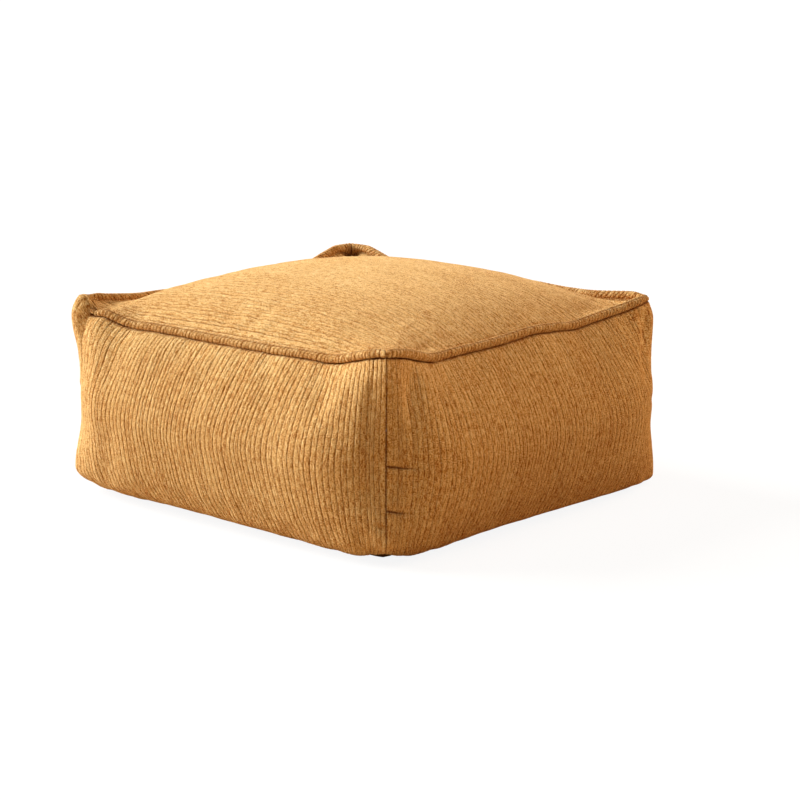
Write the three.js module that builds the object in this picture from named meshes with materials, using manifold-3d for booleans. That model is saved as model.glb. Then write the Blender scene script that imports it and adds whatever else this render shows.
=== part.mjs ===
// A filled, square floor ottoman of ribbed cloth: a low cushioned box with drawn-up ears at its
// four top corners, sides that bulge between them, and a sewn welt round the top edge.
// Millimetres, +Z up, origin at the centre of the base on the floor.
import * as THREE from "three";
import { mergeGeometries, mergeVertices } from "three/addons/utils/BufferGeometryUtils.js";
import Module from "manifold-3d";

const wasm = await Module();
wasm.setup();

// Driving sizes
const SPAN = 450; // from ear tip to ear tip along one side
const EAR_HEIGHT = 218; // middle of the welt at a corner, above the floor
const CROWN = 32; // centre of the top panel above the ears
const EAR_LENGTH = 92; // stretch over which the welt climbs to an ear
const EAR_ROUND = 24; // stretch of an ear that is drawn in or out round its tip
const EAR_SWELL_HEIGHT = 199; // where an ear swells out most beside its corner seam
const EAR_SWELL_REACH = 32;
const HOLLOW_RIM = 18; // stretch over which the top panel falls from the welts into the hollow of an ear
const HOLLOW_REACH = 110;
const RISE_REACH = 95; // stretch over which the welt climbs to a higher ear
const WAVE_CLEAR = 14; // stretch of the welt at an ear's tip that no wave reaches
const GAP = 0.3; // clearance between pieces that touch

// The corner seam, from under the foot up to the ear: half the width between opposite seams
const FOOT_TUCKED = 203.5; // at the base seam, under the cushion
const NOTCH_REACH = 21; // stretch beside a corner seam over which the foot is drawn up
const FOOT_SHARE = 0.12; // share of the side panel's height that turns under the foot
const WAIST_SHARE = 0.4; // share of the side panel's height up to the waist

const FULLNESS = 6; // how close to the corner seams the sides keep their bulge

// Base panel
const BASE_THICK = 3;
const BASE_INSET = 1.5; // from the base seam to the panel's edge
const BASE_CORNER = 6; // radius of its corners
const BASE_BELLY = 2; // how far its sides bow out between the corners

// Welt
const WELT_RADIUS = 5;
const WELT_PROUD = 1.2; // from the seam out to the welt's middle
const WELT_STEPS = 36;
const WELT_SIDES = 8;
const WELT_CAP_STEPS = 3;
const CHANNEL_GAP = 0.4; // between the edges of a welt and its channel, so that their flat faces keep GAP

// Fineness of the cushion's surface
const ACROSS_STEPS = 28;
const UP_STEPS = 13;

const HALF = SPAN / 2;
const BASE_SEAM_HEIGHT = BASE_THICK + GAP;

// One row a corner, anticlockwise from above. foot: half the width between the seams at the fullest
// point of the foot. height: of that point. notch: how far the foot is drawn up at the base seam.
// power: how round the foot is, less for a squarer one. sag: of the foot towards the floor beside the
// corner. hang: share of that sag at the corner seam itself. waist: the half width at the waist.
// swell: of the ear below the welt. rise: of the ear above an even one. pinch: how far its tip is
// drawn in. knob: how far the tip stands up. cap: reach of that. shoulder: height over which the swell
// closes in to the tip. hollow: how far the top panel lies below its dome inside the ear.
const CORNERS = [
  {
    foot: 231, height: 27, notch: 1, power: 1.0, sag: 0.2, hang: 0.0, waist: 225, swell: 6.2,
    rise: -1.5, pinch: 2.0, knob: 6.0, cap: 40, shoulder: 18, hollow: 2,
  },
  {
    foot: 232, height: 25, notch: 4, power: 0.8, sag: 2.8, hang: 0.0, waist: 227, swell: 3.0,
    rise: 0.0, pinch: 3.0, knob: 0.0, cap: 12, shoulder: 6, hollow: 9,
  },
  {
    foot: 233, height: 12, notch: 0, power: 0.5, sag: 2.9, hang: 1.0, waist: 229, swell: 3.0,
    rise: -3.5, pinch: 3.6, knob: -1.0, cap: 24, shoulder: 4, hollow: 9,
  },
  {
    foot: 231, height: 22, notch: 1, power: 0.8, sag: 2.0, hang: 0.5, waist: 227, swell: 4.5,
    rise: 8.5, pinch: 4.0, knob: -6.2, cap: 34, shoulder: 6, hollow: 9,
  },
];

// One row a side panel, from its corner of the same row to the next. along runs to the right as one
// faces the side, out away from the cushion. bulge: middle of the side beyond its corner seams.
// droop: welt below the ears. draw: welt inside the line of the ears. weltFrom and weltTo: from the
// ear tips to the middle of each rounded end.
const SIDES = [
  { name: "front", along: [1, 0], out: [0, -1], bulge: 35.5, droop: 19, draw: 10, weltFrom: 21, weltTo: 5.5 },
  { name: "right", along: [0, 1], out: [1, 0], bulge: 35.5, droop: 16, draw: 10, weltFrom: 7.6, weltTo: 5.5 },
  { name: "back", along: [-1, 0], out: [0, 1], bulge: 35.5, droop: 9, draw: 9, weltFrom: 7.6, weltTo: 5.5 },
  { name: "left", along: [0, -1], out: [-1, 0], bulge: 35.5, droop: 9, draw: 9, weltFrom: 7.6, weltTo: 14 },
];

// Uneven stretches of the welt: at, from the middle of the side; rise, above its even line; reach.
const WELT_WAVES = [
  { side: "front", at: -201, rise: -9, reach: 13 },
  { side: "front", at: -160, rise: -2.2, reach: 30 },
  { side: "front", at: 120, rise: 1.6, reach: 40 },
  { side: "right", at: -150, rise: -1.3, reach: 26 },
  { side: "right", at: 20, rise: 3.2, reach: 42 },
  { side: "right", at: 92, rise: -1.8, reach: 22 },
  { side: "right", at: 150, rise: 2.0, reach: 26 },
  { side: "back", at: -60, rise: 2.0, reach: 45 },
  { side: "back", at: 165, rise: 1.2, reach: 26 },
  { side: "left", at: -160, rise: 3.0, reach: 26 },
  { side: "left", at: 70, rise: -2.2, reach: 40 },
];

// Soft troughs in the side panels: at, from the middle of the side; up, above the floor;
// half length and half width of the trough; depth; lean, from upright, in degrees.
const SIDE_FOLDS = [
  { side: "front", at: -208, up: 194, length: 18, width: 7, depth: 3, lean: 36 },
  { side: "front", at: -150, up: 60, length: 60, width: 22, depth: 2.2, lean: 20 },
  { side: "front", at: 120, up: 150, length: 70, width: 26, depth: 2.0, lean: 35 },
  { side: "right", at: -199, up: 176, length: 22, width: 10, depth: 4.5, lean: 16 },
  { side: "right", at: -205, up: 106, length: 26, width: 5, depth: 1.8, lean: 88 },
  { side: "right", at: -205, up: 60, length: 26, width: 5, depth: 1.8, lean: 84 },
  { side: "right", at: 200, up: 170, length: 36, width: 8, depth: 4.2, lean: 24 },
  { side: "back", at: -198, up: 172, length: 34, width: 8, depth: 4, lean: -24 },
  { side: "back", at: 200, up: 174, length: 34, width: 8, depth: 4, lean: 24 },
  { side: "left", at: -198, up: 172, length: 34, width: 8, depth: 4, lean: -22 },
  { side: "left", at: 200, up: 170, length: 36, width: 8, depth: 4, lean: 26 },
];

// Soft folds of the top panel that run in from the ears: at x, y; heading in degrees from +X;
// half length and half width; depth, where a ridge is below nought.
const TOP_FOLDS = [
  { x: -196, y: -190, heading: 28, length: 38, width: 8, depth: 1.2 },
  { x: -186, y: -200, heading: 62, length: 30, width: 8, depth: 0.8 },
  { x: 192, y: -192, heading: 135, length: 36, width: 9, depth: 2.2 },
  { x: 194, y: 190, heading: 205, length: 36, width: 8, depth: 2.6 },
  { x: -188, y: 196, heading: 300, length: 34, width: 7, depth: 2.8 },
  { x: -198, y: 186, heading: 330, length: 34, width: 7, depth: 2.4 },
];

const OCHRE_CLOTH = new THREE.MeshStandardMaterial({ color: 0xcf9650, roughness: 0.95, metalness: 0 });
const OCHRE_WELT = new THREE.MeshStandardMaterial({ color: 0xc98f4b, roughness: 0.95, metalness: 0 });
const BASE_CLOTH = new THREE.MeshStandardMaterial({ color: 0x7a4a22, roughness: 0.95, metalness: 0 });

const clamp = THREE.MathUtils.clamp;
const smooth = (t) => THREE.MathUtils.smoothstep(t, 0, 1);
const bump = (t) => Math.exp(-t * t);

// How far a point at share u of a side, from -1 to 1, is past the climb to the ears: 0 to 1.
function pastEars(u) {
  return smooth(((1 - Math.abs(u)) * HALF) / EAR_LENGTH);
}

// Height of the welt below the ears at share u of a side.
function weltDrop(side, u) {
  let drop = side.droop * pastEars(u);
  const clear = smooth(((1 - Math.abs(u)) * HALF) / WAVE_CLEAR);
  for (const wave of WELT_WAVES) {
    if (wave.side === side.name) drop -= wave.rise * bump((u * HALF - wave.at) / wave.reach) * clear;
  }
  return drop;
}

// Half width between the corner seams and their height, at share v of the side panel's height.
// beside is 1 at the seam itself, where the foot is drawn up, and falls to 0 away from it.
function cornerSeam(corner, v, beside) {
  if (v < FOOT_SHARE) {
    const turn = ((v / FOOT_SHARE) * Math.PI) / 2;
    const power = corner.power + 0.1 * corner.notch * beside;
    const low = BASE_SEAM_HEIGHT + corner.notch * beside;
    return {
      half: FOOT_TUCKED + (corner.foot - FOOT_TUCKED) * Math.sin(turn) ** power,
      height: low + (corner.height - low) * (1 - clamp(Math.cos(turn), 0, 1) ** power),
    };
  }
  const height = corner.height + ((EAR_HEIGHT - corner.height) * (v - FOOT_SHARE)) / (1 - FOOT_SHARE);
  const toWaist = smooth((v - FOOT_SHARE) / (WAIST_SHARE - FOOT_SHARE));
  const toEar = clamp((v - WAIST_SHARE) / (1 - WAIST_SHARE), 0, 1);
  const below = 1 - clamp((EAR_HEIGHT - height) / corner.shoulder, 0, 1);
  const swell = corner.swell * bump((height - EAR_SWELL_HEIGHT) / EAR_SWELL_REACH)
    * Math.sqrt(1 - below * below);
  const waist = corner.foot + (corner.waist - corner.foot) * toWaist;
  return { half: waist + (HALF - corner.waist) * toEar * toEar + swell, height };
}

function cornersOf(side) {
  const place = SIDES.indexOf(side);
  return [CORNERS[place], CORNERS[(place + 1) % CORNERS.length]];
}

// The same, blended along a side from one of its corners to the other.
function sideSeams(side, u, v) {
  const beside = bump(((1 - Math.abs(u)) * HALF) / NOTCH_REACH);
  const [start, end] = cornersOf(side).map((corner) => cornerSeam(corner, v, beside));
  const share = (1 + u) / 2;
  return {
    half: start.half + (end.half - start.half) * share,
    height: start.height + (end.height - start.height) * share,
  };
}

// 1 at an ear, falling to 0 where its own rise above the others ends.
function besideEar(distance) {
  return 1 - smooth(distance / RISE_REACH);
}

function earRise(side, u) {
  const [start, end] = cornersOf(side);
  return start.rise * besideEar((1 + u) * HALF) + end.rise * besideEar((1 - u) * HALF);
}

// The corner that a point is nearest to.
function cornerOf(x, y) {
  const right = x > 0 ? 1 : 0;
  return CORNERS[y > 0 ? 3 - right : right];
}

// Depth of all troughs at a point of a side panel, given from the middle of the side and the floor.
function sideFoldDepth(side, at, up) {
  let depth = 0;
  for (const fold of SIDE_FOLDS) {
    if (fold.side !== side.name) continue;
    const lean = THREE.MathUtils.degToRad(fold.lean);
    const [da, du] = [at - fold.at, up - fold.up];
    const lengthwise = da * Math.sin(lean) + du * Math.cos(lean);
    const sideways = da * Math.cos(lean) - du * Math.sin(lean);
    depth += fold.depth * bump(lengthwise / fold.length) * bump(sideways / fold.width);
  }
  return depth;
}

function topFoldDepth(x, y) {
  let depth = 0;
  for (const fold of TOP_FOLDS) {
    const heading = THREE.MathUtils.degToRad(fold.heading);
    const [dx, dy] = [x - fold.x, y - fold.y];
    const lengthwise = dx * Math.cos(heading) + dy * Math.sin(heading);
    const sideways = dy * Math.cos(heading) - dx * Math.sin(heading);
    depth += fold.depth * bump(lengthwise / fold.length) * bump(sideways / fold.width);
  }
  return depth;
}

// The tip of each ear is a soft knob: points close to it are drawn in or out, and stand up.
function roundedEar(p) {
  const corner = cornerOf(p.x, p.y);
  const tip = new THREE.Vector3(Math.sign(p.x) * HALF, Math.sign(p.y) * HALF, EAR_HEIGHT + corner.rise);
  const away = p.distanceTo(tip);
  const inward = new THREE.Vector3(-Math.sign(p.x), -Math.sign(p.y), 0).normalize();
  p.addScaledVector(inward, corner.pinch * smooth(1 - away / EAR_ROUND));
  p.z += corner.knob * smooth(1 - away / corner.cap);
  return p;
}

// A point of a side panel: u from -1 to 1 along the side, v from 0 at the base seam to 1 at the welt.
function sidePoint(side, u, v) {
  const seam = sideSeams(side, u, v);
  const fullness = 1 - Math.abs(u) ** FULLNESS;
  const towardsWelt = clamp((v - 0.45) / 0.55, 0, 1) ** 2;
  const at = u * seam.half;
  const [start, end] = cornersOf(side);
  const blend = (name) => start[name] + ((end[name] - start[name]) * (1 + u)) / 2;
  const hang = fullness + (1 - fullness) * blend("hang");
  const sag = blend("sag") * hang * smooth((Math.abs(u) - 0.3) / 0.4)
    * Math.sin(Math.PI * clamp(v / FOOT_SHARE, 0, 1) ** 0.6) ** 2;
  const up = seam.height - sag - (weltDrop(side, u) - earRise(side, u)) * v ** 1.6;
  const swell = side.bulge * Math.sin(Math.PI * v) ** 0.9 * fullness;
  const belly = BASE_BELLY * fullness * (1 - v) ** 2;
  const onPanel = smooth(6 * v) * smooth(8 * (1 - v)) * smooth(12 * (1 - Math.abs(u)));
  const out = seam.half - side.draw * pastEars(u) * towardsWelt + swell + belly
    - sideFoldDepth(side, at, up) * onPanel;
  return roundedEar(new THREE.Vector3(
    at * side.along[0] + out * side.out[0],
    at * side.along[1] + out * side.out[1],
    up,
  ));
}

// A point of the top panel, u and w from -1 to 1 along X and Y.
function topPoint(u, w) {
  const [front, right, back, left] = SIDES;
  const near = (share) => (1 + share) / 2;
  const x = u * HALF - right.draw * pastEars(w) * near(u) + left.draw * pastEars(w) * near(-u);
  const y = w * HALF - back.draw * pastEars(u) * near(w) + front.draw * pastEars(u) * near(-w);
  const sunk = weltDrop(front, u) * near(-w) ** 8 + weltDrop(right, w) * near(u) ** 8
    + weltDrop(back, -u) * near(w) ** 8 + weltDrop(left, -w) * near(-u) ** 8;
  const dome = ((1 - Math.abs(u) ** 2.35) * (1 - Math.abs(w) ** 2.35)) ** 0.8;
  const [across, along] = [(1 - Math.abs(u)) * HALF, (1 - Math.abs(w)) * HALF];
  const hollow = cornerOf(u, w).hollow * smooth(across / HOLLOW_RIM) * smooth(along / HOLLOW_RIM)
    * bump(Math.hypot(across, along) / HOLLOW_REACH);
  const rise = cornerOf(u, w).rise * besideEar(across) * besideEar(along);
  const onPanel = smooth(12 * (1 - Math.abs(u))) * smooth(12 * (1 - Math.abs(w)));
  const z = EAR_HEIGHT + rise - sunk + CROWN * dome - hollow - topFoldDepth(x, y) * onPanel;
  return roundedEar(new THREE.Vector3(x, y, z));
}

// Grid lines are closer together towards the corners, where the surface turns most.
const onGrid = (share) => Math.round((share * ACROSS_STEPS) / 2) / (ACROSS_STEPS / 2);
const closerAtCorners = (share) => Math.sin(onGrid(share) * 1.25) / Math.sin(1.25);
const closerAtFoot = (v) => v ** 1.45 * 0.75 + v * 0.25;

// The whole cushion before the welt is let into it: a box whose faces are laid on the panels, with
// its underside closed by a flat disc.
function cushionGeometry() {
  const box = new THREE.BoxGeometry(2, 2, 1, ACROSS_STEPS, ACROSS_STEPS, UP_STEPS);
  const corners = box.getAttribute("position");
  for (let i = 0; i < corners.count; i++) {
    const u = closerAtCorners(corners.getX(i));
    const w = closerAtCorners(corners.getY(i));
    const v = closerAtFoot(clamp(corners.getZ(i) + 0.5, 0, 1));
    corners.setXYZ(i, ...cushionPoint(u, w, v).toArray());
  }
  const underside = box.groups[5];
  box.setIndex([...box.getIndex().array].slice(0, underside.start));
  return mergeGeometries([bareGeometry(box), bareGeometry(undersideGeometry())]);
}

function cushionPoint(u, w, v) {
  const edge = 1 - 1e-6;
  if (v > edge) return topPoint(u, w);
  const [front, right, back, left] = SIDES;
  if (w < -edge) return sidePoint(front, u, v);
  if (u > edge) return sidePoint(right, w, v);
  if (w > edge) return sidePoint(back, -u, v);
  if (u < -edge) return sidePoint(left, -w, v);
  return new THREE.Vector3();
}

function undersideGeometry() {
  const rim = SIDES.length * ACROSS_STEPS;
  const disc = new THREE.CircleGeometry(1, rim);
  const points = disc.getAttribute("position");
  points.setXYZ(0, 0, 0, BASE_SEAM_HEIGHT);
  for (let i = 0; i <= rim; i++) {
    const place = (rim - i) % rim;
    const side = SIDES[Math.floor(place / ACROSS_STEPS)];
    const share = (2 * (place % ACROSS_STEPS)) / ACROSS_STEPS - 1;
    points.setXYZ(i + 1, ...sidePoint(side, closerAtCorners(share), 0).toArray());
  }
  return disc;
}

function bareGeometry(geometry) {
  const bare = new THREE.BufferGeometry();
  bare.setAttribute("position", geometry.getAttribute("position"));
  bare.setIndex(geometry.getIndex());
  return bare;
}

// A welt strip: a capsule bent along the top seam of one side, rounded where its ends are folded in.
function weltGeometry(side, radius) {
  const [from, to] = [-1 + side.weltFrom / HALF, 1 - side.weltTo / HALF];
  const capsule = new THREE.CapsuleGeometry(radius, 2, WELT_CAP_STEPS, WELT_SIDES, WELT_STEPS);
  const points = capsule.getAttribute("position");
  const out = new THREE.Vector3(side.out[0], side.out[1], 0);
  for (let i = 0; i < points.count; i++) {
    const run = points.getY(i);
    const share = clamp(run, -1, 1);
    const u = from + ((share + 1) / 2) * (to - from);
    const here = sidePoint(side, u, 1);
    const tangent = sidePoint(side, u + 0.004, 1).sub(sidePoint(side, u - 0.004, 1)).normalize();
    const up = new THREE.Vector3().crossVectors(out, tangent).normalize();
    const across = new THREE.Vector3().crossVectors(tangent, up);
    here.addScaledVector(across, points.getZ(i) + WELT_PROUD);
    here.addScaledVector(up, -points.getX(i));
    here.addScaledVector(tangent, run - share);
    points.setXYZ(i, here.x, here.y, here.z);
  }
  return capsule;
}

function baseGeometry() {
  const half = FOOT_TUCKED - BASE_INSET;
  const straight = half - BASE_CORNER;
  const outline = new THREE.Shape();
  outline.moveTo(-straight, -half);
  for (let corner = 0; corner < 4; corner++) {
    const turn = (corner * Math.PI) / 2;
    const place = (x, y) => new THREE.Vector2(x, y).rotateAround(new THREE.Vector2(), turn);
    const belly = place(0, -half - 2 * BASE_BELLY);
    const end = place(straight, -half);
    const centre = place(straight, -straight);
    outline.quadraticCurveTo(belly.x, belly.y, end.x, end.y);
    outline.absarc(centre.x, centre.y, BASE_CORNER, turn - Math.PI / 2, turn, false);
  }
  return new THREE.ExtrudeGeometry(outline, { depth: BASE_THICK, bevelEnabled: false, curveSegments: 12 });
}

function solidOf(geometry) {
  const merged = mergeVertices(bareGeometry(geometry), 1e-3);
  return new wasm.Manifold(new wasm.Mesh({
    numProp: 3,
    vertProperties: merged.getAttribute("position").array,
    triVerts: new Uint32Array(merged.getIndex().array),
  }));
}

function geometryOf(solid) {
  const { vertProperties, triVerts } = solid.getMesh();
  const geometry = new THREE.BufferGeometry();
  geometry.setAttribute("position", new THREE.BufferAttribute(vertProperties, 3));
  geometry.setIndex(new THREE.BufferAttribute(triVerts, 1));
  geometry.computeVertexNormals();
  return geometry;
}

// The cushion, with a channel for each welt pressed into its top edge.
function filledBodyGeometry() {
  let body = solidOf(cushionGeometry());
  for (const side of SIDES) body = body.subtract(solidOf(weltGeometry(side, WELT_RADIUS + CHANNEL_GAP)));
  return geometryOf(body);
}

function named(name, geometry, material) {
  const mesh = new THREE.Mesh(geometry, material);
  mesh.name = name;
  return mesh;
}

const ottoman = new THREE.Group();
ottoman.add(named("filled_body", filledBodyGeometry(), OCHRE_CLOTH));
ottoman.add(named("base_panel", baseGeometry(), BASE_CLOTH));
for (const side of SIDES) {
  ottoman.add(named(`welt_${side.name}`, geometryOf(solidOf(weltGeometry(side, WELT_RADIUS))), OCHRE_WELT));
}

export default ottoman;
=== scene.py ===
import math

import bpy
import numpy as np
from mathutils import Matrix, Vector


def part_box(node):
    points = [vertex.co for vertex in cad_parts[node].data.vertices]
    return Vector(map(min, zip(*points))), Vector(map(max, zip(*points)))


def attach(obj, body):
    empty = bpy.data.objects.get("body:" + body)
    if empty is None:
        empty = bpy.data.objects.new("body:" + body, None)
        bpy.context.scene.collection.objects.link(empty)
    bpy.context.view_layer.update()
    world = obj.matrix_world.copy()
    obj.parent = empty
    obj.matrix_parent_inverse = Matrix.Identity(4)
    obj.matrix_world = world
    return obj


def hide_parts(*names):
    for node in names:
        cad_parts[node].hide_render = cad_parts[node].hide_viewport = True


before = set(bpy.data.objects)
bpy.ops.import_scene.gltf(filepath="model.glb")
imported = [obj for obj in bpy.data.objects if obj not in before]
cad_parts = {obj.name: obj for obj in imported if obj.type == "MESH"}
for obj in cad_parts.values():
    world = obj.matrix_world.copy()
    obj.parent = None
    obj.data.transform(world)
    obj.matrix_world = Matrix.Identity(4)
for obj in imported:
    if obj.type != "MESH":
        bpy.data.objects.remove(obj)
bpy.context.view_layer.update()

bl_info = {
    "name": "Ribbed floor ottoman",
    "version": (1, 0),
    "blender": (4, 5, 0),
    "location": "3D View > Sidebar > Ottoman",
    "description": "Dresses the packed ottoman in ribbed pile cloth with sewn welts",
    "category": "Add Mesh",
}

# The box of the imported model, kept before anything is added
BASE_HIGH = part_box("base_panel")[1]

# Main sizes of the cushion, in metres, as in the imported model
SPAN = 0.450
HALF = SPAN / 2
EAR_HEIGHT = 0.218
CROWN = 0.032
EAR_LENGTH = 0.092
EAR_ROUND = 0.024
EAR_SWELL_HEIGHT = 0.199
EAR_SWELL_REACH = 0.032
HOLLOW_RIM = 0.018
HOLLOW_REACH = 0.110
RISE_REACH = 0.095
FOOT_TUCKED = 0.2035
NOTCH_REACH = 0.021
WAVE_CLEAR = 0.014
FOOT_SHARE = 0.12
WAIST_SHARE = 0.40
FULLNESS = 6.0
BASE_SEAM_HEIGHT = BASE_HIGH.z + 0.0003
BASE_CORNER = 0.006
BASE_BELLY = 0.002
WELT_PROUD = 0.0012


def table(columns, rows):
    """Rows of values with these named columns."""
    return [dict(zip(columns.split(), row)) for row in rows]


# One row a corner, anticlockwise from above.
# foot: half the width between the seams at the fullest point of the foot; height: of that point
# notch: how far the foot is drawn up at the base seam
# waist: the half width at the waist
# swell: of the ear below the welt; shoulder: the height over which it closes in to the tip
# rise: of the ear above an even one
# power: how round the foot is, less for a squarer one
# sag: of the foot towards the floor beside the corner; hang: the share of it at the corner seam
# pinch: how far the ear's tip is drawn in; knob: how far it stands up; cap: the reach of that
# hollow: how far the top panel lies below its dome inside the ear
# plain: how far the ribs fade beside the corner seam; crowd: how far they crowd towards it
# mitre: how far round the ear the slanted ends of the welts reach; thin: how far those ends thin
CORNERS = [
    {"name": "front_left", "foot": 0.231, "height": 0.027, "notch": 0.001,
     "waist": 0.225, "swell": 0.0062, "rise": -0.0015, "power": 1.0, "sag": 0.0002, "hang": 0.0,
     "pinch": 0.0020, "knob": 0.0060, "cap": 0.040,
     "shoulder": 0.018, "hollow": 0.002, "plain": 0.15, "mitre": 0.0, "thin": 0.50, "crowd": 0.002},
    {"name": "front_right", "foot": 0.232, "height": 0.025, "notch": 0.004,
     "waist": 0.227, "swell": 0.0030, "rise": 0.0, "power": 0.8, "sag": 0.0028, "hang": 0.0,
     "pinch": 0.0030, "knob": 0.0, "cap": 0.012,
     "shoulder": 0.006, "hollow": 0.009, "plain": 0.22, "mitre": 1.0, "thin": 0.12, "crowd": 0.013},
    {"name": "back_right", "foot": 0.233, "height": 0.012, "notch": 0.0,
     "waist": 0.229, "swell": 0.0030, "rise": -0.0035, "power": 0.5, "sag": 0.0029, "hang": 1.0,
     "pinch": 0.0036, "knob": -0.0010, "cap": 0.024,
     "shoulder": 0.004, "hollow": 0.009, "plain": 0.15, "mitre": 0.45, "thin": 0.30, "crowd": 0.002},
    {"name": "back_left", "foot": 0.231, "height": 0.022, "notch": 0.001,
     "waist": 0.227, "swell": 0.0045, "rise": 0.0085, "power": 0.8, "sag": 0.0020, "hang": 0.5,
     "pinch": 0.0040, "knob": -0.0062, "cap": 0.034,
     "shoulder": 0.006, "hollow": 0.009, "plain": 0.20, "mitre": 1.0, "thin": -0.46, "crowd": 0.002},
]
CORNER_SIGNS = ((-1, -1), (1, -1), (1, 1), (-1, 1))

# One row a side panel, from its corner of the same row to the next.
# along: to the right as one faces the side; out: away from the cushion
# bulge: middle of the side beyond its corner seams
# droop: welt below the ears; draw: welt inside the line of the ears
# welt_from and welt_to: from the ear tips to each end of the welt
# tuck: how far the top panel sinks beside the welt; dip: how far the welt's last end sinks
# slant: of the ribs across the welt
# lean: how far the ribs lean to the right at the welt; sweep: the same at the foot
# fan and fan_at: the lean at the welt near one ear, and where
# ridge_start and ridge_end: from each corner seam to the valley beside its seam allowance
SIDES = [
    {"name": "front", "along": (1, 0), "out": (0, -1), "bulge": 0.0355, "droop": 0.019, "draw": 0.010,
     "welt_from": 0.021, "welt_to": 0.0021, "tuck": 0.0, "dip": 0.0, "slant": 0.0022,
     "lean": 0.014, "sweep": 0.020, "fan": 0.015, "fan_at": -0.74,
     "ridge_start": 0.020, "ridge_end": 0.0155, "seed": 11},
    {"name": "right", "along": (0, 1), "out": (1, 0), "bulge": 0.0355, "droop": 0.016, "draw": 0.010,
     "welt_from": 0.0021, "welt_to": 0.0021, "tuck": 0.0, "dip": 0.0, "slant": 0.0022,
     "lean": -0.013, "sweep": -0.022, "fan": -0.028, "fan_at": 0.80,
     "ridge_start": 0.023, "ridge_end": 0.018, "seed": 12},
    {"name": "back", "along": (-1, 0), "out": (0, 1), "bulge": 0.0355, "droop": 0.009, "draw": 0.009,
     "welt_from": 0.0021, "welt_to": 0.0008, "tuck": 0.0044, "dip": 0.0, "slant": -0.0044,
     "lean": 0.008, "sweep": -0.010, "fan": 0.008, "fan_at": -0.70,
     "ridge_start": 0.017, "ridge_end": 0.021, "seed": 13},
    {"name": "left", "along": (0, -1), "out": (-1, 0), "bulge": 0.0355, "droop": 0.009, "draw": 0.009,
     "welt_from": 0.0008, "welt_to": 0.011, "tuck": 0.0044, "dip": 0.0030, "slant": 0.0044,
     "lean": -0.006, "sweep": 0.012, "fan": -0.009, "fan_at": 0.70,
     "ridge_start": 0.019, "ridge_end": 0.016, "seed": 14},
]

# Uneven stretches of the welt: at, from the middle of the side; rise, above its even line; reach
WELT_WAVES = table("side at rise reach", [
    ("front", -0.201, -0.0090, 0.013),
    ("front", -0.160, -0.0022, 0.030),
    ("front", 0.120, 0.0016, 0.040),
    ("right", -0.150, -0.0013, 0.026),
    ("right", 0.020, 0.0032, 0.042),
    ("right", 0.092, -0.0018, 0.022),
    ("right", 0.150, 0.0020, 0.026),
    ("back", -0.060, 0.0020, 0.045),
    ("back", 0.165, 0.0012, 0.026),
    ("left", -0.160, 0.0030, 0.026),
    ("left", 0.070, -0.0022, 0.040),
])

# Soft troughs in the side panels: at, from the middle of the side; up, above the floor; half
# length and half width; depth; lean, from upright, in degrees
SIDE_FOLDS = table("side at up length width depth lean", [
    ("front", -0.208, 0.194, 0.018, 0.007, 0.0030, 36),
    ("front", -0.150, 0.060, 0.060, 0.022, 0.0022, 20),
    ("front", 0.120, 0.150, 0.070, 0.026, 0.0020, 35),
    ("right", -0.199, 0.176, 0.022, 0.010, 0.0045, 16),
    ("right", -0.205, 0.106, 0.026, 0.005, 0.0018, 88),
    ("right", -0.205, 0.060, 0.026, 0.005, 0.0018, 84),
    ("right", 0.200, 0.170, 0.036, 0.008, 0.0042, 24),
    ("back", -0.198, 0.172, 0.034, 0.008, 0.0040, -24),
    ("back", 0.200, 0.174, 0.034, 0.008, 0.0040, 24),
    ("left", -0.198, 0.172, 0.034, 0.008, 0.0040, -22),
    ("left", 0.200, 0.170, 0.036, 0.008, 0.0040, 26),
])

# Small pleats that the ends of the welts gather below the ears, with the same columns
EAR_PLEATS = table("side at up length width depth lean", [
    ("front", -0.203, 0.204, 0.006, 0.0050, 0.0028, 40),
    ("front", -0.214, 0.2015, 0.010, 0.0020, 0.0018, 72),
    ("front", -0.2115, 0.195, 0.011, 0.0020, 0.0020, 46),
    ("front", -0.205, 0.190, 0.011, 0.0020, 0.0018, 18),
    ("right", 0.213, 0.200, 0.012, 0.0024, 0.0018, -12),
    ("right", 0.205, 0.198, 0.012, 0.0024, 0.0018, -32),
    ("right", 0.196, 0.198, 0.010, 0.0024, 0.0014, -50),
    ("back", 0.210, 0.204, 0.012, 0.0022, 0.0020, -20),
    ("back", 0.200, 0.203, 0.012, 0.0022, 0.0016, -42),
    ("left", -0.210, 0.204, 0.012, 0.0022, 0.0020, 20),
    ("left", 0.206, 0.198, 0.012, 0.0022, 0.0018, -36),
])

# Soft folds of the top panel that run in from the ears: at x, y; heading in degrees from +X
TOP_FOLDS = table("x y heading length width depth", [
    (-0.196, -0.190, 28, 0.038, 0.008, 0.0012),
    (-0.186, -0.200, 62, 0.030, 0.008, 0.0008),
    (0.192, -0.192, 135, 0.036, 0.009, 0.0022),
    (0.194, 0.190, 205, 0.036, 0.008, 0.0026),
    (-0.188, 0.196, 300, 0.034, 0.007, 0.0028),
    (-0.198, 0.186, 330, 0.034, 0.007, 0.0024),
])

# Small pleats of the top panel in the ears, with the same columns
TOP_PLEATS = table("x y heading length width depth", [
    (-0.206, 0.214, 338, 0.013, 0.0022, 0.0018),
    (-0.208, 0.206, 318, 0.013, 0.0022, 0.0026),
    (-0.216, 0.202, 296, 0.013, 0.0022, 0.0018),
    (0.206, 0.208, 220, 0.013, 0.0024, 0.0020),
    (0.200, 0.215, 196, 0.013, 0.0022, 0.0016),
])

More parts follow.
